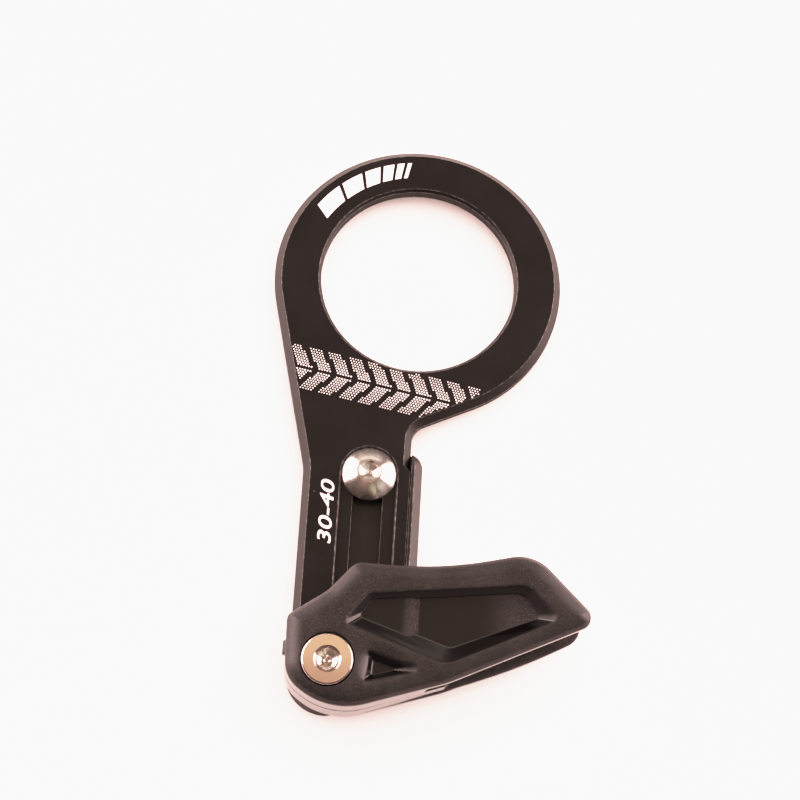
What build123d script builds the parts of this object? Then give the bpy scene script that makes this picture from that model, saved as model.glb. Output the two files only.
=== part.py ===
from build123d import *
from math import acos, atan2, cos, hypot, sin
import os

# A bicycle chain guide that clamps round a bottom bracket: a flat ring with a slotted arm,
# a carriage that slides along the arm, and a moulded two-piece cage that the chain runs through.
# Millimetres. The origin is on the bracket's axis, at the ring's back face.
# +Z points away from the bicycle's frame, and the arm and the cage lie towards -Y.

# Ring of the ring plate
BORE_D = 35.0  # over the thread of a bottom bracket cup
RING_WIDTH = 8.35
PLATE_T = 2.5  # takes the place of one bracket spacer
EDGE_CHAMFER = 1.25
BORE_CHAMFER = 0.5

# Arm of the ring plate
ARM_LEFT = -18.05
ARM_RIGHT = 0.5
KNEE_DROP = 10.75  # below the ring, the sloping left edge turns straight here
KNEE_R = 9.0
SHOULDER_DROP = 2.55  # below the ring, the right edge starts here
SHOULDER_R = 3.7
ARM_END_R = 3.0
PLAIN_EDGE_DROP = 9.45  # below the ring, the right edge has no chamfer from here on

# Slot of the arm, and the screw that clamps the carriage in it
SLOT_X = -6.6
CLAMP_DROP = 11.5  # below the ring, the clamp screw's place at the smallest chainring
TRAVEL = 20.0  # from a 30 to a 40 tooth chainring
SCREW_D = 5.0
DRILL_POINT = 0.28  # height of the point in a hex socket, for its width
SLOT_GAP = 0.1
SLOT_END_WALL = 5.7
RECESS_DEPTH = 0.6
SLOT_BREAK = 0.15  # broken edges of the slot and its recess
HEAD_GAP = 0.15
CLAMP_HEAD_D = 9.5
CLAMP_HEAD_H = 2.2
CLAMP_HEAD_RIM = 0.35
CLAMP_HEAD_FLAT_D = 4.0
CLAMP_DOME_R = 6.0
CLAMP_HEX = 3.0
CLAMP_HEX_DEPTH = 0.8
CLAMP_HEX_MOUTH_D = 3.7

# Carriage plate
BASE_T = 4.0
CARRIAGE_INSET = 0.75  # behind the arm's left edge
CARRIAGE_RISE = 4.6  # above the clamp screw
CARRIAGE_R = 2.8
RIM_GAP = 0.2
RIM_WIDTH = 2.0
RIM_CHAMFER = 1.45
FOOT_GAP = 0.5  # arm's end to the foot
GUIDE_SCREW_DROP = 7.05  # below the foot's step
FOOT_LEFT_REACH = 6.3  # guide screw to the foot's left side
FOOT_DROP = 5.45  # guide screw to the foot's lowest point
FOOT_R = 6.7  # corner between the two
FOOT_CHAMFER = 0.6
FOOT_SIDE_DROP = 5.2  # the right edge turns in here, below the foot's step
FOOT_SIDE_R = 4.0
UNDER_GAP = 0.3  # arm's face to the back of the cage
TIP_GAP = 0.5  # the screws end inside the carriage
THREAD_GAP = 0.05

# Cage
GUIDE_X = -11.85
INNER_T = 2.4
CHAIN_GAP = 6.2
OUTER_T = 2.9
INNER_BOSS_H = 3.5
CROWN_DROP = 1.7  # slope at the outer guide's upper edge
CROWN_WIDTH = 1.5
BACK_CHAMFER = 1.2  # inner guide's lower edge
BOSS_RISE = 6.1  # guide screw to the chain's path
BOSS_CORNER_R = 1.0
BOSS_END_R = 2.6
INNER_BOSS_REACH = 20.2
INNER_BOSS_BEND_X = 5.0  # the boss leaves the guide's edge here
INNER_BOSS_DRAW_IN = 0.85  # and is this far inside it at its end
OUTER_BOSS_REACH = 17.4
INNER_TIP_R = 3.2
INNER_TIP_DROP = 0.35  # below the outer guide's tip
OUTER_TIP_R = 2.1

# Guide screw
GUIDE_HEAD_D = 8.5
GUIDE_HEAD_H = 3.5
GUIDE_HEAD_BEVEL = 0.25
GUIDE_HEAD_PROUD = 0.25
GUIDE_HEX = 3.3
GUIDE_HEX_DEPTH = 0.9
GUIDE_HEX_MOUTH_D = 4.5
HOLE_GAP = 0.2
COUNTERBORE_GAP = 0.2

# Keys that stop the guides turning on the guide screw
KEY_LENGTH = 7.0
KEY_WIDTH = 3.4
KEY_H = 1.0
KEY_GAP = 0.15
KEY_REACH = 8.6  # guide screw to the key's middle
KEY_ANGLE = 14.0

# Moulded pockets and gate mark of the outer guide
POCKET_DEPTH = 1.9
POCKET_STEP = 0.4  # the floor is higher over the boss
POCKET_STEP_X = 12.9
POCKET_RAMP = 1.2
TRIANGLE_DEPTH = 1.7
GATE_LENGTH = 2.4
GATE_PROUD = 0.5
GATE_H = 1.2
GATE_RISE = 1.4  # above the parting face
GATE_UP = 0.9  # above the guide screw

# Cage outlines, as corners (x, y, radius) from the guide screw's axis
GUIDE_UPPER = [(-7.05, 7.2, 1.6), (-0.62, 11.91, 6.0), (3.71, 17.06, 2.5),
               (17.35, 16.79, 65.0), (33.3, 20.77, 6.9)]
GUIDE_TIP = (44.65, 9.76)
GUIDE_LOWER = [(19.95, -2.2, 20.0), (0.57, -8.63, 12.0), (-6.75, -2.95, 5.5)]
POCKET_RIM = [(6.1, 11.45, 1.2), (32.55, 14.85, 3.0), (38.2, 9.2, 1.2),
              (19.55, -0.2, 5.0), (1.8, 6.0, 1.0)]
POCKET_FLOOR = [(6.55, 10.6, 0.6), (31.6, 13.8, 2.4), (34.5, 9.7, 0.6),
                (20.0, 3.75, 1.8), (5.55, 8.45, 0.5)]
TRIANGLE_RIM = [(6.05, 2.8, 0.8), (17.4, -0.7, 0.8), (5.45, -3.8, 0.8)]
TRIANGLE_FLOOR = [(7.5, 0.7, 0.3), (11.6, -0.6, 0.3), (7.35, -1.85, 0.3)]

# What follows from those sizes
RING_R = BORE_D / 2 + RING_WIDTH
KNEE = (ARM_LEFT, -RING_R - KNEE_DROP)
SHOULDER = (ARM_RIGHT, -RING_R - SHOULDER_DROP)
PLAIN_EDGE_Y = -RING_R - PLAIN_EDGE_DROP
SLOT_W = SCREW_D + 2 * SLOT_GAP
RECESS_W = CLAMP_HEAD_D + 2 * HEAD_GAP
RECESS_Z = PLATE_T - RECESS_DEPTH
CLAMP_Y = -RING_R - CLAMP_DROP
SLOT_END_Y = CLAMP_Y - TRAVEL
ARM_END_Y = SLOT_END_Y - SLOT_W / 2 - SLOT_END_WALL
RIM_LEFT = ARM_RIGHT + RIM_GAP
RIM_RIGHT = RIM_LEFT + RIM_WIDTH
CARRIAGE_LEFT = ARM_LEFT + CARRIAGE_INSET
FOOT_Y = ARM_END_Y - FOOT_GAP
FOOT_SIDE_Y = FOOT_Y - FOOT_SIDE_DROP
FOOT_Z = PLATE_T + UNDER_GAP
FOOT_LEFT = GUIDE_X - FOOT_LEFT_REACH
GUIDE_Y = FOOT_Y - GUIDE_SCREW_DROP
INNER_TOP = FOOT_Z + INNER_T
PARTING_Z = INNER_TOP + INNER_BOSS_H
OUTER_LOW = INNER_TOP + CHAIN_GAP
OUTER_TOP = OUTER_LOW + OUTER_T
GUIDE_HEAD_TOP = OUTER_TOP + GUIDE_HEAD_PROUD


def rounded(corners):
    """Face with straight sides and an arc of the given radius at each (x, y, radius) corner."""
    points = [(x, y) for x, y, _ in corners]
    return make_face(FilletPolyline(*points, radius=[r for _, _, r in corners], close=True))


def touch(point, centre, radius, side):
    """Where a line from a point touches a circle, on the side that +1 or -1 turns to."""
    x, y = point[0] - centre[0], point[1] - centre[1]
    angle = atan2(y, x) + side * acos(radius / hypot(x, y))
    return centre[0] + radius * cos(angle), centre[1] + radius * sin(angle)


def top_face(solid):
    return solid.faces().sort_by(Axis.Z)[-1]


def block(low, high):
    """Box between two corners."""
    size = [b - a for a, b in zip(low, high)]
    return Pos(*low) * Box(*size, align=(Align.MIN, Align.MIN, Align.MIN))


def point_down(radius, height):
    """Cone below z = 0, with its point at the bottom."""
    return Pos(0, 0, -height / 2) * Cone(0, radius, height)


def hex_socket(across, depth, mouth_d, turn):
    """Hexagonal hole below z = 0, with a chamfered mouth and the drill's point at the bottom."""
    hole = extrude(RegularPolygon(across / 2, 6, major_radius=False, rotation=turn), -depth)
    hole += Pos(0, 0, -depth) * point_down(across / 2, DRILL_POINT * across)
    return hole + point_down(mouth_d / 2, mouth_d / 2)


def arm_slot(width, low, high):
    """Round-ended slot along the arm, between two heights."""
    face = Pos(SLOT_X, (CLAMP_Y + SLOT_END_Y) / 2) * SlotCenterToCenter(TRAVEL, width, rotation=90)
    return Pos(0, 0, low) * extrude(face, high - low)


def plain_edge():
    """Square stretch of the arm's right edge, which the carriage's rim runs along."""
    inner = ARM_RIGHT - EDGE_CHAMFER
    end = ARM_END_Y + ARM_END_R
    start = PLAIN_EDGE_Y - EDGE_CHAMFER
    corners = [(inner, PLAIN_EDGE_Y), (ARM_RIGHT, start), (ARM_RIGHT, end), (inner, end)]
    return extrude(make_face(Polyline(*corners, close=True)), PLATE_T)


def bracket_bore():
    """Bore of the ring, with a chamfer at the front."""
    bore_r = BORE_D / 2
    chamfer_z = PLATE_T - BORE_CHAMFER
    profile = Polyline((0, 0), (bore_r, 0), (bore_r, chamfer_z), (bore_r + BORE_CHAMFER, PLATE_T),
                       (0, PLATE_T), close=True)
    return revolve(make_face(Plane.XZ * profile), Axis.Z)


def ring_plate():
    """Flat ring and slotted arm, with one wide chamfer round the front face."""
    arm = rounded([
        (*touch(KNEE, (0, 0), RING_R, -1), 0),
        (*KNEE, KNEE_R),
        (ARM_LEFT, ARM_END_Y, ARM_END_R),
        (ARM_RIGHT, ARM_END_Y, ARM_END_R),
        (*SHOULDER, SHOULDER_R),
        (*touch(SHOULDER, (0, 0), RING_R, 1), 0),
    ])
    plate = extrude(Circle(RING_R) + arm, PLATE_T)
    plate = chamfer(top_face(plate).outer_wire().edges(), EDGE_CHAMFER)
    plate += plain_edge()
    plate -= arm_slot(SLOT_W, 0, PLATE_T)
    plate -= arm_slot(RECESS_W, RECESS_Z, PLATE_T)
    for face in plate.faces().filter_by(Axis.Z).sort_by(Axis.Z)[-2:]:
        plate = chamfer(face.inner_wires()[0].edges(), SLOT_BREAK)
    return plate - bracket_bore()


def rim():
    """Carriage's slab behind the arm, with a chamfered rim up its right side."""
    slab = rounded([
        (CARRIAGE_LEFT, CLAMP_Y + CARRIAGE_RISE, CARRIAGE_R),
        (RIM_RIGHT, CLAMP_Y + CARRIAGE_RISE, CARRIAGE_R),
        (RIM_RIGHT, FOOT_SIDE_Y, FOOT_SIDE_R),
        (CARRIAGE_LEFT, FOOT_SIDE_Y, 0),
    ])
    solid = Pos(0, 0, -BASE_T) * extrude(slab, BASE_T + PLATE_T)
    solid = chamfer(top_face(solid).outer_wire().edges(), RIM_CHAMFER)
    return solid - block((CARRIAGE_LEFT, FOOT_Y, 0), (RIM_LEFT, 0, PLATE_T))


def foot():
    """Raised end of the carriage that the cage is screwed to."""
    centre = (FOOT_LEFT + FOOT_R, GUIDE_Y - FOOT_DROP + FOOT_R)
    side = (RIM_RIGHT, FOOT_SIDE_Y)
    face = rounded([
        (FOOT_LEFT, FOOT_Y, 0),
        (RIM_RIGHT, FOOT_Y, 0),
        (*side, FOOT_SIDE_R),
        (*touch(side, centre, FOOT_R, -1), 0),
        (*centre, 0),
        (FOOT_LEFT, centre[1], 0),
    ])
    below_step = Pos(centre[0], FOOT_Y - FOOT_R) * Rectangle(2 * FOOT_R, 2 * FOOT_R)
    face += Pos(*centre) * Circle(FOOT_R) & below_step
    solid = Pos(0, 0, -BASE_T) * extrude(face, BASE_T + FOOT_Z)
    outer_edges = top_face(solid).outer_wire().edges().sort_by(Axis.Y)[:-1]
    return chamfer(outer_edges, FOOT_CHAMFER)


def key(gap):
    """Face of a locating key beside the guide screw, or of its pocket."""
    face = SlotOverall(KEY_LENGTH + 2 * gap, KEY_WIDTH + 2 * gap)
    return Pos(GUIDE_X, GUIDE_Y) * Rot(0, 0, KEY_ANGLE) * Pos(KEY_REACH, 0) * face


def rod(x, y, radius, low, high):
    """Upright cylinder between two heights."""
    return Pos(x, y, low) * extrude(Circle(radius), high - low)


def carriage_plate():
    """Plate that slides behind the arm, with the rim, the foot and two tapped holes."""
    plate = rim() + foot()
    plate += Pos(0, 0, FOOT_Z) * extrude(key(0), KEY_H)
    for x, y in ((SLOT_X, CLAMP_Y), (GUIDE_X, GUIDE_Y)):
        plate -= rod(x, y, SCREW_D / 2 + THREAD_GAP, -BASE_T, FOOT_Z)
    return plate


def guide_face(tip_drop, tip_r):
    """Outline that both guides share, apart from the tip's height and rounding."""
    tip_x, tip_y = GUIDE_TIP
    return Pos(GUIDE_X, GUIDE_Y) * rounded([*GUIDE_UPPER, (tip_x, tip_y - tip_drop, tip_r), *GUIDE_LOWER])


def left_edge(y):
    """Point on the guide's straight left edge."""
    (top_x, top_y, _), (low_x, low_y, _) = GUIDE_UPPER[0], GUIDE_LOWER[-1]
    return low_x + (y - low_y) * (top_x - low_x) / (top_y - low_y), y


def lower_edge(x):
    """Point on the guide's straight lower edge."""
    (end_x, end_y, _), (start_x, start_y, _), _ = GUIDE_LOWER
    return x, start_y + (x - start_x) * (end_y - start_y) / (end_x - start_x)


def boss_face(reach):
    """Part of the guide round its screw and along its lower edge, clear of the chain's path."""
    return Pos(GUIDE_X, GUIDE_Y) * rounded([
        (*left_edge(BOSS_RISE), BOSS_CORNER_R),
        (reach, BOSS_RISE, BOSS_END_R),
        (*lower_edge(reach), BOSS_END_R),
        *GUIDE_LOWER[1:],
    ])


def draw_in():
    """Wedge between the guide's lower edge and the end of the inner boss."""
    bend = lower_edge(INNER_BOSS_BEND_X)
    end_x, end_y = lower_edge(INNER_BOSS_REACH)
    ends = [(end_x, end_y - INNER_BOSS_DRAW_IN), (end_x, end_y + INNER_BOSS_DRAW_IN)]
    return Pos(GUIDE_X, GUIDE_Y) * make_face(Polyline(bend, *ends, close=True))


def inner_guide():
    """Guide on the frame's side of the chain, with the boss that spaces the cage."""
    guide = Pos(0, 0, FOOT_Z) * extrude(guide_face(INNER_TIP_DROP, INNER_TIP_R), INNER_T)
    guide = chamfer(guide.faces().sort_by(Axis.Z)[0].outer_wire().edges(), BACK_CHAMFER)
    guide += Pos(0, 0, INNER_TOP) * extrude(boss_face(INNER_BOSS_REACH) - draw_in(), INNER_BOSS_H)
    for low in (FOOT_Z, PARTING_Z - KEY_H - KEY_GAP):
        guide -= Pos(0, 0, low) * extrude(key(KEY_GAP), KEY_H + KEY_GAP)
    return guide - rod(GUIDE_X, GUIDE_Y, SCREW_D / 2 + HOLE_GAP, FOOT_Z, PARTING_Z)


def pocket(rim_corners, floor_corners, depth):
    """Sloping-walled hollow in the outer guide's face."""
    mouth = Pos(GUIDE_X, GUIDE_Y, OUTER_TOP) * rounded(rim_corners)
    floor = Pos(GUIDE_X, GUIDE_Y, OUTER_TOP - depth) * rounded(floor_corners)
    return loft([floor, mouth], ruled=True)


def pocket_step():
    """Higher stretch of the pocket's floor over the boss, with a ramp down from it."""
    low = OUTER_TOP - POCKET_DEPTH
    high = low + POCKET_STEP
    edge = GUIDE_X + POCKET_STEP_X
    profile = Polyline((GUIDE_X, low), (edge + POCKET_RAMP, low), (edge, high), (GUIDE_X, high), close=True)
    reach = GUIDE_UPPER[-1][1]
    return Pos(0, GUIDE_Y + reach, 0) * extrude(make_face(Plane.XZ * profile), reach)


def gate_mark():
    """Stub of the trimmed sprue on the outer guide's left wall."""
    wall_x = GUIDE_X + left_edge(GATE_UP)[0]
    low_y = GUIDE_Y + GATE_UP
    low_z = PARTING_Z + GATE_RISE
    return block((wall_x - GATE_PROUD, low_y, low_z),
                 (wall_x + GATE_PROUD, low_y + GATE_LENGTH, low_z + GATE_H))


def outer_guide():
    """Guide on the rider's side of the chain: crowned edge, pockets and counterbore."""
    guide = Pos(0, 0, OUTER_LOW) * extrude(guide_face(0, OUTER_TIP_R), OUTER_T)
    face = top_face(guide)
    guide = chamfer(face.outer_wire().edges(), CROWN_WIDTH, CROWN_DROP, reference=face)
    guide += Pos(0, 0, PARTING_Z) * extrude(boss_face(OUTER_BOSS_REACH), OUTER_LOW - PARTING_Z)
    guide += Pos(0, 0, PARTING_Z - KEY_H) * extrude(key(0), KEY_H)
    guide -= pocket(POCKET_RIM, POCKET_FLOOR, POCKET_DEPTH) - pocket_step()
    guide -= pocket(TRIANGLE_RIM, TRIANGLE_FLOOR, TRIANGLE_DEPTH)
    head_low = GUIDE_HEAD_TOP - GUIDE_HEAD_H
    guide -= rod(GUIDE_X, GUIDE_Y, GUIDE_HEAD_D / 2 + COUNTERBORE_GAP, head_low, OUTER_TOP)
    guide -= rod(GUIDE_X, GUIDE_Y, SCREW_D / 2 + HOLE_GAP, PARTING_Z, head_low)
    return guide + gate_mark()


def clamp_screw():
    """Button-head screw through the arm's slot."""
    head_r = CLAMP_HEAD_D / 2
    flat_r = CLAMP_HEAD_FLAT_D / 2
    rim_corner, flat_corner = (head_r, CLAMP_HEAD_RIM), (flat_r, CLAMP_HEAD_H)
    profile = (
        Polyline(flat_corner, (0, CLAMP_HEAD_H), (0, 0), (head_r, 0), rim_corner)
        + RadiusArc(rim_corner, flat_corner, -CLAMP_DOME_R)
    )
    head = revolve(make_face(Plane.XZ * profile), Axis.Z)
    head -= Pos(0, 0, CLAMP_HEAD_H) * hex_socket(CLAMP_HEX, CLAMP_HEX_DEPTH, CLAMP_HEX_MOUTH_D, 0)
    shank = rod(SLOT_X, CLAMP_Y, SCREW_D / 2, TIP_GAP - BASE_T, RECESS_Z)
    return Pos(SLOT_X, CLAMP_Y, RECESS_Z) * head + shank


def guide_screw():
    """Flat-head screw that holds the cage to the carriage's foot."""
    head_low = GUIDE_HEAD_TOP - GUIDE_HEAD_H
    head = rod(GUIDE_X, GUIDE_Y, GUIDE_HEAD_D / 2, head_low, GUIDE_HEAD_TOP)
    head = chamfer(top_face(head).edges(), GUIDE_HEAD_BEVEL)
    socket = hex_socket(GUIDE_HEX, GUIDE_HEX_DEPTH, GUIDE_HEX_MOUTH_D, 30)
    head -= Pos(GUIDE_X, GUIDE_Y, GUIDE_HEAD_TOP) * socket
    return head + rod(GUIDE_X, GUIDE_Y, SCREW_D / 2, TIP_GAP - BASE_T, head_low)


PARTS = {
    "ring_plate": ring_plate,
    "carriage_plate": carriage_plate,
    "clamp_screw": clamp_screw,
    "inner_guide": inner_guide,
    "outer_guide": outer_guide,
    "guide_screw": guide_screw,
}

os.makedirs("parts", exist_ok=True)
for name, make in PARTS.items():
    export_step(make(), f"parts/{name}.step")
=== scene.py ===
from math import cos, hypot, pi, radians, sin, sqrt

import bmesh
import bpy
from mathutils import Matrix, Vector
from mathutils.bvhtree import BVHTree
from mathutils.kdtree import KDTree


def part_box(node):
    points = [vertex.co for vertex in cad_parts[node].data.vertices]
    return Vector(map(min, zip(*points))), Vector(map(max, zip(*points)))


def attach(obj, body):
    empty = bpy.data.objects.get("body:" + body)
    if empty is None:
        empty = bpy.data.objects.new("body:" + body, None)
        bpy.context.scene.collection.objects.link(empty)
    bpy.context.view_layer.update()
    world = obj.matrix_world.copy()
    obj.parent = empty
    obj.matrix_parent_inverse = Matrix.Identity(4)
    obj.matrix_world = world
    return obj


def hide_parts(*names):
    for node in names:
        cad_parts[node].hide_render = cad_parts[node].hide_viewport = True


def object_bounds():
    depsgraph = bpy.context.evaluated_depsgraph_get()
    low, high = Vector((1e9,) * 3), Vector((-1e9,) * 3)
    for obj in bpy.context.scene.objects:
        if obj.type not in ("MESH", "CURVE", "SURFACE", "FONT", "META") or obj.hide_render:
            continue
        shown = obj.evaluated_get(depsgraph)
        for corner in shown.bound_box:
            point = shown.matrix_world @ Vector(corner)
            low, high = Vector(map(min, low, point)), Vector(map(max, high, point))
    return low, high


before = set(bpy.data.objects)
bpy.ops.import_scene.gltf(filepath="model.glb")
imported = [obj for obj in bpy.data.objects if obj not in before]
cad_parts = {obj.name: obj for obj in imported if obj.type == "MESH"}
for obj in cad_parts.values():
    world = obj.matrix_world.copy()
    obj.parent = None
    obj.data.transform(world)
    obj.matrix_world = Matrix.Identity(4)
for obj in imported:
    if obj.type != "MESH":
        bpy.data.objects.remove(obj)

CAD_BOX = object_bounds()
MM = 0.001


def axis_of(screw):
    """Where a screw's axis meets the level of the ring plate's back face."""
    low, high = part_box(screw)
    return ((low.x + high.x) / 2, (low.y + high.y) / 2, 0.0)


def grey(value):
    return (value, value, value, 1.0)


# Levels and axes that the frame gives
PLATE_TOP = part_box("ring_plate")[1].z
FACE_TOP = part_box("outer_guide")[1].z
CLAMP_AXIS = axis_of("clamp_screw")
GUIDE_AXIS = axis_of("guide_screw")

# Copy of a CAD node's mesh: the gap and the angle under which it is joined, and when two heights agree
WELD_GAP = 0.0005 * MM
LEVEL_ANGLE = radians(0.15)
LEVEL_GAP = 0.01 * MM

# Machined pieces: the turn that makes an edge sharp, how wide it is broken, and where shading splits
SHARP_TURN = radians(25)
BREAK_STEPS = 2
PLATE_BREAK = 0.06 * MM
CARRIAGE_BREAK = 0.08 * MM
SCREW_BREAK = 0.06 * MM
SHADING_SPLIT = radians(40)

# The foot's lower left corner, from the guide screw's axis: its direction, and how far out it is brought
FOOT_CORNER = (cos(radians(232)), sin(radians(232)))
FOOT_INNER = 4.0 * MM
FOOT_START = 0.45
FOOT_BLEND = 0.25
FOOT_RISE = 0.28 * MM

# Moulded guides: the cells of their skins, and how strongly and how often these are smoothed
INNER_CELL = 0.19 * MM
OUTER_CELL = 0.17 * MM
SMOOTHING = 0.5
EDGE_PASSES = 3
MOUTH_PASSES = 30

# Outer guide: the curve of its edge, and the lips of its hollows and of the screw's bore
CROWN_FOOT = 12.6 * MM
CROWN_WIDTH = 3.5 * MM
CROWN_R = 4.63 * MM
LINE_STEP = 0.15 * MM
LIP_TURN = radians(20)
LIP_INNER = 1.7 * MM
MOUTH_REACH = 0.9 * MM
BORE_REACH = 5.0 * MM
BORE_ROUND = 0.18 * MM
BORE_STEPS = 4

# Outer guide's hollows, from the guide screw's axis: corners of their mouths in millimetres, clockwise
POCKET = [(6.1, 11.45), (32.55, 14.85), (38.2, 9.2), (19.55, -0.2), (1.8, 6.0)]
TRIANGLE = [(6.05, 2.8), (17.4, -0.7), (5.45, -3.8)]
HOLLOW_EDGE = (0.1 * MM, 1.2 * MM)

# Strips of the pocket's floor that are left frosted and carry dense painted glints: where each starts, is
# full and ends along the guide
FROSTED = [(24 * MM, 34 * MM, 40 * MM), (11.4 * MM, 13.4 * MM, 14.3 * MM)]
FROST_FADE = 0.5 * MM

# Inner guide's boss: where it leaves the guide's edge, the slope of its wall, and how far that is eased
BOSS_BEND = (-6.85 * MM, -80.41 * MM)
BOSS_SLOPE = 0.388
BOSS_FOOT = 5.35 * MM
BOSS_EASE = 0.036
BOSS_FADE = 4.0 * MM

# Inner guide's lower edge from the boss to the tip, and how far out it is brought in between
EDGE_START = (10.0 * MM, -74.48 * MM)
EDGE_LENGTH = 21.0 * MM
EDGE_SLOPE = 0.484
EDGE_RISE = 0.57 * MM
EDGE_FADE = 4.0 * MM

# Print on the ring plate: how thick it is, and the height above the part from which the plate is felt
INK_DEPTH = 0.03 * MM
FEELER_HEIGHT = 50 * MM

# Dotted band of chevrons across the neck, with its rows and columns counted from the middle
BAND_CENTRE = (-6.0 * MM, -21.0 * MM, PLATE_TOP)
BAND_TILT = radians(-10)
BAND_ROWS = 9
BAND_COLUMNS = 36
CHEVRON_PITCH = 3.6 * MM
CHEVRON_WIDTH = 2.5 * MM
CHEVRON_SLANT = 0.75
DOT_PITCH = 0.48 * MM
DOT_ROW = 0.42 * MM
DOT_RADIUS = 0.16 * MM
DOT_SHRINK = 0.25
DOT_MARGIN = 0.3 * MM
DOT_SIDES = 8

# Blocks along the ring: the angle in degrees where each starts, and its width
ARC_BLOCKS = [(147, 5.2 * MM), (131.5, 3.9 * MM), (119.5, 2.8 * MM), (110.5, 1.9 * MM),
              (104, 1.2 * MM), (99.3, 0.7 * MM)]
ARC_RADIUS = 21.7 * MM
ARC_HEIGHT = 3.0 * MM
ARC_SLANT = -0.05
ARC_STEPS = 4

# Numbers beside the slot
NUMBERS_CENTRE = (-13.5 * MM, -45.0 * MM, PLATE_TOP)
NUMBERS_TURN = radians(90)
NUMBERS_SIZE = 3.3 * MM
NUMBERS_STRETCH = 1.5
NUMBERS_SHEAR = 0.2
NUMBERS_WEIGHT = 0.03 * MM
NUMBERS_STEPS = 4
NUMBERS_WELD = 0.001 * MM

# Finishes: gloss as an index of refraction, and shades from dark to pale
PLATE_GLOSS = 1.43
CARRIAGE_GLOSS = 1.58
WORN_GLOSS = 1.5
NYLON_GLOSS = 1.48
DYE_SHADES = (grey(0.0008), grey(0.0016))
DUST_SHADE = grey(0.2)
WORN_SHADES = (grey(0.004), grey(0.16))
# painted light: the inner guide's nylon is painted lighter than the outer's, standing in for light bounced
# under the outer guide
INNER_SHADE_PAINTED_LIGHTER = 0.014
OUTER_SHADE = 0.0078
# painted glints: pale dots in the nylon's colour stand in for light sparkling on its grain
PAINTED_GLINT_SHADES = (grey(0.028), grey(0.06))
INK_SHADES = (grey(0.55), (0.80, 0.77, 0.76, 1.0))
TABLE_SHADES = ((0.86, 0.835, 0.825, 1.0), (0.9, 0.88, 0.87, 1.0))

# Share of a speck's radius that has its full strength
SPECK_CORE = 0.6

# Turned steel: the pitch of its rings, and how its painted reflection (lighter and warmer at the back,
# darker and pinker at the front) is smeared and runs over the head
TURNING_PITCH = 0.11 * MM
SMEAR_SHIFT = 1.2 * MM
PAINTED_REFLECTION_REACH = 3.5 * MM

# Light tent round the part: its colours, and how far back or up each begins and is full
TENT_SHADES = ((0.10, 0.065, 0.055, 1.0), (0.21, 0.147, 0.133, 1.0))
TENT_BACK = (-0.6, 0.1)
ROOF_SHADE = (0.26, 0.18, 0.16, 1.0)
ROOF_UP = (0.5, 0.75)
SHEET_GLOW = (2.9, 2.3, 2.0, 1.0)
SHEET_BACK = (0.72, 0.8)
SHEET_FOOT = (0.36, 0.46)
SHEET_HEAD = (0.52, 0.64)
BACKDROP_GLOW = (4.2, 3.0, 2.9, 1.0)

# Things round the tent that bright steel picks up: the way to each, where it fades out and is full, its glow
TENT_PATCHES = [((0.07, 0.225, 0.972), (0.980, 0.996), (1.32, 0.80, 0.51, 1.0)),
                ((-0.22, -0.31, 0.927), (0.975, 0.9875), (0.62, 0.34, 0.30, 1.0)),
                ((0.26, -0.60, 0.76), (0.975, 0.9875), (0.7, 0.56, 0.36, 1.0)),
                ((0.342, -0.71, 0.614), (0.994, 0.997), (2.2, 1.9, 1.4, 1.0)),
                ((0.68, -0.40, 0.61), (0.96, 0.98), (1.1, 0.9, 0.8, 1.0))]

# Soft lights: their colour, and where the left one stands, what it faces and its size
WARM = (1.0, 0.70, 0.66)
LEFT_PANEL = {"place": (-0.6, 0.34, 0.37), "aim": (0.0, 0.34, 0.37), "size": (0.88, 0.64)}

# Table top
TABLE_HALF = 2.0
TABLE_GAP = 0.02 * MM

# Camera: sensor and lens in millimetres, where it stands, and the ways of its right and top sides
SENSOR = 36.0
FOCAL_LENGTH = 91.31
NEAR_CLIP = 0.01
FAR_CLIP = 20.0
EYE_PLACE = Vector((-18.41, -146.91, 337.12)) * MM
EYE_RIGHT = Vector((0.99596, 0.05667, 0.06966))
EYE_UP = Vector((-0.0772, 0.93654, 0.34194))

# Film: the brightest light it holds and its tone, and the tones of lights below that
BRIGHTEST = 6.0
TOP_TONE = 0.96
SHOULDER = [(0.05, 0.05), (0.3, 0.3), (0.6, 0.585), (0.9, 0.80), (1.2, 0.905), (1.6, 0.94), (3.0, 0.95)]

# Sockets and curves of Blender's own that have only a number
MIX_FACTOR, MIX_LOW, MIX_HIGH, MIX_OUT = 0, 6, 7, 2
ALL_COLOURS = 3


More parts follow.
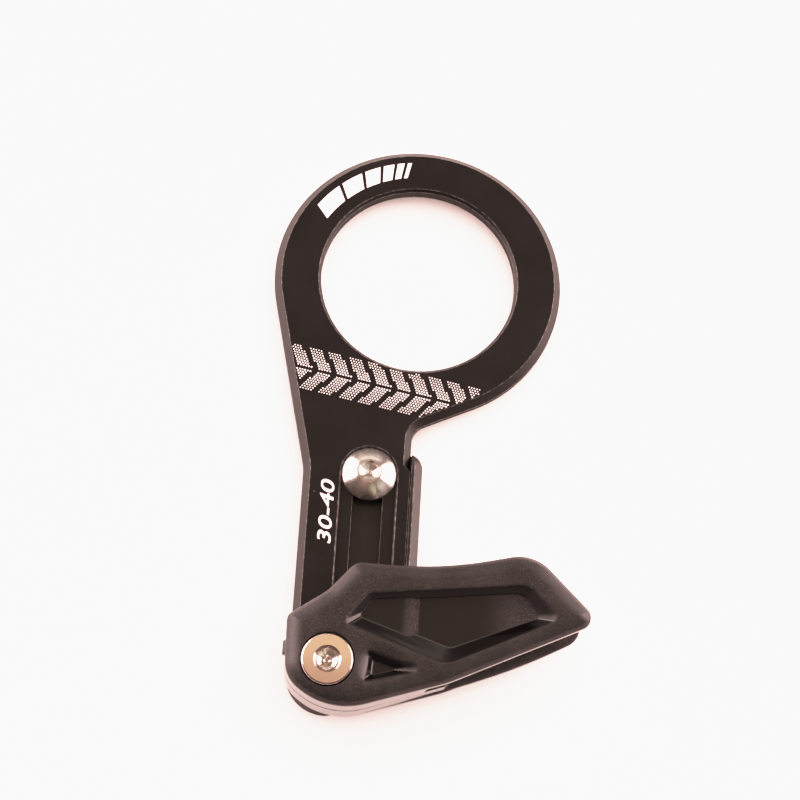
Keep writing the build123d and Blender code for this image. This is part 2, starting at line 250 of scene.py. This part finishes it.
class Wire:
    """A shader socket. Arithmetic on it adds Math nodes, and add() brings in any other node."""

    def __init__(self, tree, socket=None):
        self.tree = tree
        self.socket = socket

    def add(self, kind, settings=None, sockets=None, out=0):
        """Adds a node with these settings and inputs, and gives one of its outputs."""
        node = self.tree.nodes.new("ShaderNode" + kind)
        for name, value in (settings or {}).items():
            setattr(node, name, value)
        for name, value in (sockets or {}).items():
            if isinstance(value, Wire):
                self.tree.links.new(value.socket, node.inputs[name])
            else:
                node.inputs[name].default_value = value
        return Wire(self.tree, node.outputs[out] if node.outputs else None)

    def maths(self, operation, *values):
        return self.add("Math", {"operation": operation}, dict(enumerate(values)))

    def __add__(self, other):
        return self.maths("ADD", self, other)

    def __radd__(self, other):
        return self.maths("ADD", other, self)

    def __sub__(self, other):
        return self.maths("SUBTRACT", self, other)

    def __rsub__(self, other):
        return self.maths("SUBTRACT", other, self)

    def __mul__(self, other):
        return self.maths("MULTIPLY", self, other)

    def __rmul__(self, other):
        return self.maths("MULTIPLY", other, self)

    def __lt__(self, other):
        return self.maths("LESS_THAN", self, other)

    def between(self, low, high):
        """0 below low, 1 above high, and smooth in between."""
        settings = {"interpolation_type": "SMOOTHSTEP"}
        return self.add("MapRange", settings, {"Value": self, "From Min": low, "From Max": high})

    def blend(self, low, high):
        """Colour from low at 0 to high at 1."""
        sockets = {MIX_FACTOR: self, MIX_LOW: low, MIX_HIGH: high}
        return self.add("Mix", {"data_type": "RGBA"}, sockets, MIX_OUT)

    def part(self, axis):
        """One coordinate of a vector."""
        return self.add("SeparateXYZ", None, {"Vector": self}, axis)


def new_material(name):
    """Empty material, and the start of its wiring."""
    material = bpy.data.materials.new(name)
    material.use_nodes = True
    material.node_tree.nodes.clear()
    return material, Wire(material.node_tree)


def surface(start, sockets):
    """Puts a shader with these inputs on the material's surface."""
    shader = start.add("BsdfPrincipled", None, sockets)
    start.add("OutputMaterial", None, {"Surface": shader})


def object_place(start, centre=(0.0, 0.0, 0.0)):
    """Object coordinates, measured from a point on the piece."""
    coords = start.add("TexCoord", None, None, "Object")
    return start.add("Mapping", {"vector_type": "TEXTURE"}, {"Vector": coords, "Location": centre})


def noise(place, size, detail=2.0, roughness=0.5):
    """Cloudy pattern with patches of about that size in metres."""
    sockets = {"Vector": place, "Scale": 1.0 / size, "Detail": detail, "Roughness": roughness}
    return place.add("TexNoise", None, sockets)


def specks(place, spacing, radius, share):
    """Sparse round dots: that share of the cells has one."""
    cell = {"Vector": place, "Scale": 1.0 / spacing}
    near = place.add("TexVoronoi", None, cell, "Distance") * spacing
    chance = place.add("SeparateColor", None, {"Color": place.add("TexVoronoi", None, cell, "Color")})
    return (1.0 - near.between(SPECK_CORE * radius, radius)) * (chance < share)


def bump(height, depth):
    """Fine relief of that depth in metres where the height goes from 0 to 1."""
    return height.add("Bump", None, {"Height": height, "Strength": 1.0, "Distance": depth})


def lean(start, axis):
    """How far a surface faces along an axis: along Z, from 1 on level faces to 0 on walls."""
    return start.add("NewGeometry", None, None, "Normal").part(axis)


def anodised(name, gloss):
    """Black anodised aluminium: satin faces, duller walls, faint clouds and a few pale specks of dust."""
    material, start = new_material(name)
    place = object_place(start)
    cloud = noise(place, size=9 * MM, detail=3.0)
    grain = noise(place, size=0.12 * MM)
    dust = specks(place, spacing=3.2 * MM, radius=0.09 * MM, share=0.07)
    wall = 1.0 - lean(start, "Z").between(low=0.1, high=0.5)
    dye = cloud.between(low=0.3, high=0.7).blend(*DYE_SHADES)
    satin = 0.36 + 0.08 * cloud + 0.06 * grain
    surface(start, {
        "Base Color": dust.blend(dye, DUST_SHADE),
        "Roughness": satin + 0.42 * wall,
        "IOR": gloss,
        "Normal": bump(grain, depth=0.0025 * MM),
    })
    return material


def worn_edge():
    """Edge where handling has polished the anodising thin."""
    material, start = new_material("anodised_edge")
    rub = noise(object_place(start), size=0.8 * MM, detail=4.0, roughness=0.65)
    rub = rub.between(low=0.42, high=0.68)
    surface(start, {
        "Base Color": rub.blend(*WORN_SHADES),
        "Metallic": 0.8 * rub,
        "Roughness": 0.34 - 0.06 * rub,
        "IOR": WORN_GLOSS,
    })
    return material


def inside(place, corners):
    """How far a point lies inside a convex outline, whose corners run clockwise in millimetres."""
    x, y = place.part("X"), place.part("Y")
    depth = None
    for (ax, ay), (bx, by) in zip(corners, corners[1:] + corners[:1]):
        run = hypot(bx - ax, by - ay)
        across, along = (by - ay) / run, (bx - ax) / run
        gap = across * x - along * y + (along * ay - across * ax) * MM
        depth = depth.maths("MINIMUM", depth, gap) if depth else gap
    return depth


def hollow_mask(place, hollows):
    """1 well inside the mouths of the hollows, and 0 outside them."""
    mask = 0.0
    for corners in hollows:
        mask = mask + inside(place, corners).between(*HOLLOW_EDGE)
    return mask


def frost_mask(start, place, strips):
    """1 on the frosted strips, and 0 beside them and on walls that face the ring."""
    along = place.part("X")
    mask = 0.0
    for low, full, high in strips:
        mask = mask + along.between(low, full) * (1.0 - along.between(high, high + FROST_FADE))
    return mask * (1.0 - lean(start, "Y").between(low=0.12, high=0.3))


def nylon(name, shade, hollows=(), strips=()):
    """Black moulded nylon: grained faces with painted glints, polished walls painted lighter, smooth hollows
    painted darker as shade, and frosted strips with dense painted glints.
    """
    material, start = new_material(name)
    place = object_place(start, GUIDE_AXIS)
    facing = lean(start, "Z")
    hollow = hollow_mask(place, hollows)
    frost = frost_mask(start, place, strips)
    face = facing.between(low=0.35, high=0.62)
    level = facing.between(low=0.90, high=0.98)
    satin = face + hollow * (level - face)
    grained = satin * (1.0 - hollow * (1.0 - frost))
    cloud = noise(place, size=7 * MM, detail=3.0)
    grain = noise(place, size=0.34 * MM, detail=3.0, roughness=0.7)
    pits = noise(place, size=0.12 * MM, detail=1.0)
    # painted glints: bright specks in the colour stand in for sparkle, and also raise the grain's bumps
    frost_specks_painted_glints = specks(place, spacing=0.27 * MM, radius=0.09 * MM, share=0.4) * (satin * hollow * frost)
    grain_specks_painted_glints = specks(place, spacing=0.38 * MM, radius=0.09 * MM, share=0.45) * grained
    specks_painted_glints = frost_specks_painted_glints + grain_specks_painted_glints * (1.0 - 0.99 * frost_specks_painted_glints)
    tone = (0.3 * cloud + 0.7 * grain).between(low=0.36, high=0.64)
    rough_shade = tone.blend(grey(0.4 * shade), grey(1.5 * shade))
    # painted light and shade: steep walls are painted lighter for bounced light, and the hollows' smooth
    # floors darker as shade
    painted_wall_light = 1.0 - facing.between(low=0.45, high=0.75)
    smooth_painted_shading = painted_wall_light.blend(grey(0.15 * shade), grey(2.0 * shade))
    dulling = 0.19 + 0.08 * cloud + 0.06 * pits
    relief = (0.05 + 0.95 * grained) * (grain + 0.4 * pits + 0.45 * specks_painted_glints)
    surface(start, {
        "Base Color": specks_painted_glints.blend(grained.blend(smooth_painted_shading, rough_shade), frost_specks_painted_glints.blend(*PAINTED_GLINT_SHADES)),
        "Roughness": 0.13 + satin * dulling + 0.4 * (hollow * frost),
        "IOR": NYLON_GLOSS,
        "Normal": bump(relief, depth=0.03 * MM),
    })
    return material


def turned_steel(name, axis, tint, low_tint, rough, draw_out):
    """Bright steel with the fine rings that turning leaves, which draw reflections out towards the rim. Its
    colour holds a painted reflection: lighter and warmer towards the back of the head, darker towards the
    front.
    """
    material, start = new_material(name)
    place = object_place(start, axis)
    turning = start.add("TexWave", {"wave_type": "RINGS", "rings_direction": "Z"}, {
        "Vector": place,
        "Scale": 0.5 / TURNING_PITCH,
        "Distortion": 0.6,
        "Detail": 2.0,
        "Detail Scale": 1.5,
    })
    smear = noise(place, size=1.4 * MM, detail=4.0, roughness=0.6)
    # painted reflection: the head's colour runs from a darker front to a lighter, warmer back
    painted_reflection_cast = (place.part("Y") + SMEAR_SHIFT * smear).between(-PAINTED_REFLECTION_REACH, PAINTED_REFLECTION_REACH)
    surface(start, {
        "Base Color": painted_reflection_cast.blend(low_tint, tint),
        "Metallic": 1.0,
        "Roughness": rough + 0.06 * smear + 0.04 * turning,
        "Anisotropic": draw_out,
        "Anisotropic Rotation": 0.25,
        "Normal": bump(turning, depth=0.0012 * MM),
    })
    return material


def ink():
    """Pale printed ink, a little thin in places."""
    material, start = new_material("pale_ink")
    thin = noise(object_place(start), size=0.5 * MM, detail=3.0)
    surface(start, {
        "Base Color": thin.between(low=0.25, high=0.75).blend(*INK_SHADES),
        "Roughness": 0.5 + 0.1 * thin,
    })
    return material


def pale_table():
    """Smooth pale table top, faintly uneven in tone."""
    material, start = new_material("pale_table")
    surface(start, {
        "Base Color": noise(object_place(start), size=40 * MM).blend(*TABLE_SHADES),
        "Roughness": 0.75,
    })
    return material


def merged_copy(node):
    """Editable copy of a CAD node's mesh, with its loose triangles joined into whole faces."""
    shape = bmesh.new()
    shape.from_mesh(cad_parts[node].data)
    bmesh.ops.remove_doubles(shape, verts=shape.verts, dist=WELD_GAP)
    bmesh.ops.dissolve_limit(shape, angle_limit=LEVEL_ANGLE, verts=shape.verts, edges=shape.edges)
    return shape


def finished(name, shape, materials, body, node=None, smooth=True):
    """Makes an object of a shape, on its body, in place of a CAD node if it stands for one."""
    mesh = bpy.data.meshes.new(name)
    shape.to_mesh(mesh)
    shape.free()
    for material in materials:
        mesh.materials.append(material)
    if smooth:
        mesh.shade_smooth()
    piece = bpy.data.objects.new(name, mesh)
    bpy.context.scene.collection.objects.link(piece)
    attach(piece, body)
    if node:
        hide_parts(node)
    return piece


def break_edges(shape, width):
    """Rounds every sharp edge a little, and gives the rounding the second material."""
    edges = [e for e in shape.edges if e.is_manifold and e.calc_face_angle() > SHARP_TURN]
    made = bmesh.ops.bevel(shape, geom=edges, offset=width, offset_type="OFFSET", affect="EDGES",
                           segments=BREAK_STEPS, profile=0.5, material=-1, clamp_overlap=True)
    for face in made["faces"]:
        face.material_index = 1


def machined(node, name, materials, body, width, reshape=None):
    """Piece in place of a machined CAD node, with its edges broken."""
    shape = merged_copy(node)
    if reshape:
        reshape(shape)
    break_edges(shape, width)
    piece = finished(name, shape, materials, body, node)
    piece.data.set_sharp_from_angle(angle=SHADING_SPLIT)
    piece.modifiers.new("flat faces", "WEIGHTED_NORMAL").keep_sharp = True


def widen_foot(shape):
    """Brings the foot's lower left corner out, closer under the guide's edge."""
    for vert in shape.verts:
        x, y = vert.co.x - GUIDE_AXIS[0], vert.co.y - GUIDE_AXIS[1]
        reach = hypot(x, y)
        if reach > FOOT_INNER:
            towards = (x * FOOT_CORNER[0] + y * FOOT_CORNER[1]) / reach
            share = min(1.0, max(0.0, (towards - FOOT_START) / FOOT_BLEND))
            vert.co.x += FOOT_RISE * share * x / reach
            vert.co.y += FOOT_RISE * share * y / reach


def steel_screw(node, axis, **finish):
    """Screw that rides on the carriage, turned from bright steel."""
    steel = turned_steel(node + "_steel", axis, **finish)
    machined(node, node + "_piece", [steel, steel], "carriage", SCREW_BREAK)


def line_of(edges):
    """Close points along a line of edges, from which the nearest can be found, seen from the front."""
    points = []
    for edge in edges:
        start, end = (v.co for v in edge.verts)
        steps = int((end - start).length / LINE_STEP) + 1
        points += [start.lerp(end, i / steps) for i in range(steps + 1)]
    line = KDTree(len(points))
    for i, point in enumerate(points):
        line.insert((point.x, point.y, 0), i)
    line.balance()
    return line


def gap_to(line, point):
    """How far a point lies from such a line, seen from the front."""
    return line.find((point.x, point.y, 0))[2]


def level_edges(shape, height):
    """Edges that lie at one height."""
    return [e for e in shape.edges if all(abs(v.co.z - height) < LEVEL_GAP for v in e.verts)]


def mouth_edges(shape, outline):
    """Edges of the hollows' mouths in the front face, and those of the screw's bore."""
    lips = [e for e in level_edges(shape, FACE_TOP) if e.is_manifold
            and e.calc_face_angle() > LIP_TURN and gap_to(outline, e.verts[0].co) > LIP_INNER]
    axis = Vector(GUIDE_AXIS).xy
    bore = [e for e in lips if (e.verts[0].co.xy - axis).length < BORE_REACH]
    return [e for e in lips if e not in bore], bore


def even_skin(piece, cell):
    """Gives a piece a skin of small even cells, which can be moved and smoothed."""
    remesh = piece.modifiers.new("even skin", "REMESH")
    remesh.mode = "VOXEL"
    remesh.voxel_size = cell
    remesh.use_smooth_shade = True
    bpy.context.view_layer.update()
    skin = bpy.data.meshes.new_from_object(piece.evaluated_get(bpy.context.evaluated_depsgraph_get()))
    piece.modifiers.clear()
    piece.data = skin


def soften(piece, name, passes, group=""):
    """Smooths a piece's skin, all over or where a group of its points says."""
    smooth = piece.modifiers.new(name, "SMOOTH")
    smooth.factor = SMOOTHING
    smooth.iterations = passes
    smooth.vertex_group = group


def soften_mouths(piece, mouths):
    """Lets the front face curve gently into its hollows."""
    group = piece.vertex_groups.new(name="mouths")
    for vert in piece.data.vertices:
        if vert.co.z > CROWN_FOOT:
            gap = gap_to(mouths, vert.co)
            if gap < MOUTH_REACH:
                group.add([vert.index], 1.0 - (gap / MOUTH_REACH) ** 2, "REPLACE")
    soften(piece, "soft mouths", MOUTH_PASSES, "mouths")


def crown(mesh, outline):
    """Carries the sloping edge on into one soft curve that starts well inside the face."""
    for vert in mesh.vertices:
        if vert.co.z > CROWN_FOOT:
            outward = max(0.0, CROWN_WIDTH - gap_to(outline, vert.co))
            vert.co.z = min(vert.co.z, FACE_TOP - CROWN_R + sqrt(CROWN_R ** 2 - outward ** 2))


def ease_front(mesh):
    """Brings the front out: the far end of the boss, and the lower edge, in a shallow arc."""
    for vert in mesh.vertices:
        along = vert.co.x - BOSS_BEND[0]
        if vert.co.z > BOSS_FOOT and along > 0:
            depth = max(0.0, vert.co.y - BOSS_BEND[1] - BOSS_SLOPE * along)
            vert.co.y -= BOSS_EASE * along * max(0.0, 1.0 - depth / BOSS_FADE)
        share = (vert.co.x - EDGE_START[0]) / EDGE_LENGTH
        if 0.0 < share < 1.0:
            depth = max(0.0, vert.co.y - EDGE_START[1] - EDGE_SLOPE * share * EDGE_LENGTH)
            vert.co.y -= EDGE_RISE * sin(pi * share) * max(0.0, 1.0 - depth / EDGE_FADE)


def inner_guide(material):
    """Moulded guide on the frame's side of the chain."""
    piece = finished("inner_guide_piece", merged_copy("inner_guide"), [material], "carriage",
                     "inner_guide")
    even_skin(piece, INNER_CELL)
    ease_front(piece.data)
    soften(piece, "soft edges", EDGE_PASSES)


def outer_guide(material):
    """Moulded guide on the rider's side of the chain, with a crowned edge and soft hollows."""
    shape = merged_copy("outer_guide")
    outline = line_of(level_edges(shape, CROWN_FOOT))
    hollows, bore = mouth_edges(shape, outline)
    mouths = line_of(hollows)
    bmesh.ops.bevel(shape, geom=bore, offset=BORE_ROUND, offset_type="OFFSET", affect="EDGES",
                    segments=BORE_STEPS, profile=0.5, material=-1, clamp_overlap=False)
    piece = finished("outer_guide_piece", shape, [material], "carriage",
                     "outer_guide")
    even_skin(piece, OUTER_CELL)
    crown(piece.data, outline)
    soften_mouths(piece, mouths)
    soften(piece, "soft edges", EDGE_PASSES)


def printed(name, shape, material):
    """Thin print on the ring plate's front face."""
    finished(name, shape, [material], "plate", smooth=False)


def flat_there(plate, x, y):
    """Whether the plate's front face is flat for a dot's margin round a point."""
    for dx, dy in ((DOT_MARGIN, 0), (-DOT_MARGIN, 0), (0, DOT_MARGIN), (0, -DOT_MARGIN)):
        hit = plate.ray_cast(Vector((x + dx, y + dy, FEELER_HEIGHT)), Vector((0, 0, -1)))[0]
        if hit is None or abs(hit.z - PLATE_TOP) > LEVEL_GAP:
            return False
    return True


def dotted_chevrons(material):
    """Band of chevrons across the neck, printed as fine dots that shrink towards the band's edges."""
    bare_plate = merged_copy("ring_plate")
    plate = BVHTree.FromBMesh(bare_plate)
    bare_plate.free()
    shape = bmesh.new()
    turn = Matrix.Translation(BAND_CENTRE) @ Matrix.Rotation(BAND_TILT, 4, "Z")
    for row in range(-BAND_ROWS, BAND_ROWS + 1):
        for column in range(-BAND_COLUMNS, BAND_COLUMNS + 1):
            along = (column + 0.5 * (row % 2)) * DOT_PITCH
            across = row * DOT_ROW
            if (along + CHEVRON_SLANT * abs(across)) % CHEVRON_PITCH > CHEVRON_WIDTH or row == 0:
                continue
            spot = turn @ Vector((along, across, 0))
            if flat_there(plate, spot.x, spot.y):
                size = DOT_RADIUS * (1.0 - DOT_SHRINK * abs(row) / BAND_ROWS)
                bmesh.ops.create_cone(shape, cap_ends=True, segments=DOT_SIDES, radius1=size, radius2=size,
                                      depth=INK_DEPTH, matrix=Matrix.Translation(spot))
    printed("dotted_chevrons", shape, material)


def arc_blocks(material):
    """Solid slanted blocks that follow the ring, each narrower than the one before."""
    shape = bmesh.new()
    for start, width in ARC_BLOCKS:
        made = bmesh.ops.create_grid(shape, x_segments=ARC_STEPS, y_segments=1, size=0.5)
        for vert in made["verts"]:
            radius = ARC_RADIUS + vert.co.y * ARC_HEIGHT
            angle = radians(start) - (vert.co.x + 0.5) * width / ARC_RADIUS + vert.co.y * ARC_SLANT
            vert.co = Vector((radius * cos(angle), radius * sin(angle), PLATE_TOP - INK_DEPTH / 2))
    raised = bmesh.ops.extrude_face_region(shape, geom=shape.faces[:], use_keep_orig=True)["geom"]
    raised = [part for part in raised if isinstance(part, bmesh.types.BMVert)]
    bmesh.ops.translate(shape, verts=raised, vec=(0, 0, INK_DEPTH))
    bmesh.ops.recalc_face_normals(shape, faces=shape.faces)
    printed("arc_blocks", shape, material)


def tooth_range(material):
    """Plain numbers beside the slot: the smallest and largest chainring."""
    words = bpy.data.curves.new("tooth_range", "FONT")
    words.body = "30-40"
    words.size = NUMBERS_SIZE
    words.shear = NUMBERS_SHEAR
    words.offset = NUMBERS_WEIGHT
    words.extrude = INK_DEPTH / 2
    words.resolution_u = NUMBERS_STEPS
    words.align_x = "CENTER"
    words.align_y = "CENTER"
    text = bpy.data.objects.new("tooth_range_text", words)
    bpy.context.scene.collection.objects.link(text)
    bpy.context.view_layer.update()
    shape = bmesh.new()
    shape.from_mesh(text.evaluated_get(bpy.context.evaluated_depsgraph_get()).to_mesh())
    bpy.data.objects.remove(text)
    bmesh.ops.remove_doubles(shape, verts=shape.verts, dist=NUMBERS_WELD)
    place = Matrix.Translation(NUMBERS_CENTRE) @ Matrix.Rotation(NUMBERS_TURN, 4, "Z")
    place = place @ Matrix.Diagonal((NUMBERS_STRETCH, 1.0, 1.0, 1.0))
    bmesh.ops.transform(shape, matrix=place, verts=shape.verts)
    printed("tooth_range", shape, material)


def studio_world():
    """Inside of a light tent, open and dark at the front; the camera itself sees a plain pale backdrop."""
    world = bpy.data.worlds.new("studio")
    bpy.context.scene.world = world
    world.use_nodes = True
    world.node_tree.nodes.clear()
    start = Wire(world.node_tree)
    way = start.add("TexCoord", None, None, "Generated")
    up, back = way.part("Z"), way.part("Y")
    walls = back.between(*TENT_BACK).blend(*TENT_SHADES)
    tent = up.between(*ROOF_UP).blend(walls, ROOF_SHADE)
    sheet = back.between(*SHEET_BACK) * up.between(*SHEET_FOOT) * (1.0 - up.between(*SHEET_HEAD))
    tent = sheet.blend(tent, SHEET_GLOW)
    for aim, (low, full), glow in TENT_PATCHES:
        near = start.add("VectorMath", {"operation": "DOT_PRODUCT"}, {0: way, 1: aim}, "Value")
        tent = near.between(low, full).blend(tent, glow)
    seen = start.add("LightPath", None, None, "Is Camera Ray").blend(tent, BACKDROP_GLOW)
    start.add("OutputWorld", None, {"Surface": start.add("Background", None, {"Color": seen})})


def softbox(name, place, aim, size, glow, lights, shines):
    """Large soft light with an even glow, which lights dull surfaces, shines in glossy ones, or both."""
    light = bpy.data.lights.new(name, "AREA")
    light.shape = "RECTANGLE"
    light.size, light.size_y = size
    light.energy = glow * pi * size[0] * size[1]
    light.color = WARM
    lamp = bpy.data.objects.new(name, light)
    lamp.location = place
    lamp.rotation_euler = (Vector(aim) - Vector(place)).to_track_quat("-Z", "Y").to_euler()
    lamp.visible_camera = False
    lamp.visible_diffuse = lights
    lamp.visible_glossy = shines
    bpy.context.scene.collection.objects.link(lamp)


def table_top():
    """Plain pale table just under the carriage."""
    shape = bmesh.new()
    bmesh.ops.create_grid(shape, x_segments=1, y_segments=1, size=TABLE_HALF)
    bmesh.ops.translate(shape, verts=shape.verts, vec=(0, 0, CAD_BOX[0].z - TABLE_GAP))
    mesh = bpy.data.meshes.new("table_top")
    shape.to_mesh(mesh)
    shape.free()
    mesh.materials.append(pale_table())
    top = bpy.data.objects.new("table_top", mesh)
    bpy.context.scene.collection.objects.link(top)


def camera():
    """Looks down on the guide as the photograph does."""
    lens = bpy.data.cameras.new("camera")
    lens.sensor_width = SENSOR
    lens.lens = FOCAL_LENGTH
    lens.clip_start = NEAR_CLIP
    lens.clip_end = FAR_CLIP
    eye = bpy.data.objects.new("camera", lens)
    turn = Matrix((EYE_RIGHT, EYE_UP, EYE_RIGHT.cross(EYE_UP))).transposed()
    eye.matrix_world = Matrix.Translation(EYE_PLACE) @ turn.to_4x4()
    bpy.context.scene.collection.objects.link(eye)
    bpy.context.scene.camera = eye


def film():
    """Keeps dark tones as they are and lets the bright table roll off just short of white."""
    view = bpy.context.scene.view_settings
    view.view_transform = "Standard"
    view.use_curve_mapping = True
    mapping = view.curve_mapping
    mapping.white_level = (BRIGHTEST, BRIGHTEST, BRIGHTEST)
    curve = mapping.curves[ALL_COLOURS]
    for light, tone in SHOULDER:
        curve.points.new(light / BRIGHTEST, tone)
    curve.points[-1].location = (1.0, TOP_TONE)
    mapping.update()


edge_finish = worn_edge()
plate_finish = [anodised("black_anodised", PLATE_GLOSS), edge_finish]
carriage_finish = [anodised("carriage_black", CARRIAGE_GLOSS), edge_finish]
machined("ring_plate", "ring_plate_piece", plate_finish, "plate", PLATE_BREAK)
machined("carriage_plate", "carriage_piece", carriage_finish, "carriage",
         CARRIAGE_BREAK, widen_foot)

pale_ink = ink()
dotted_chevrons(pale_ink)
arc_blocks(pale_ink)
tooth_range(pale_ink)

# these tints hold painted reflections: a lighter, warmer upper tint and a darker, pinker lower tint
steel_screw("clamp_screw", CLAMP_AXIS, tint=(0.90, 0.88, 0.83, 1.0), low_tint=(0.70, 0.67, 0.63, 1.0),
            rough=0.2, draw_out=0.8)
steel_screw("guide_screw", GUIDE_AXIS, tint=(0.93, 0.86, 0.76, 1.0), low_tint=(0.66, 0.57, 0.55, 1.0),
            rough=0.16, draw_out=0.3)
inner_guide(nylon("inner_nylon", INNER_SHADE_PAINTED_LIGHTER))
outer_guide(nylon("outer_nylon", OUTER_SHADE, [POCKET, TRIANGLE], FROSTED))

studio_world()
softbox("left_shine", **LEFT_PANEL, glow=8.6, lights=False, shines=True)
softbox("left_panel", **LEFT_PANEL, glow=4.0, lights=True, shines=False)
softbox("right_panel", place=(0.6, 0.22, 0.37), aim=(0.0, 0.22, 0.37), size=(0.68, 0.64),
        glow=8.4, lights=True, shines=True)
softbox("overhead_fill", place=(0.0, 0.1, 0.9), aim=(0.0, 0.0, 0.0), size=(1.4, 1.4),
        glow=7.0, lights=True, shines=False)
table_top()
camera()
film()
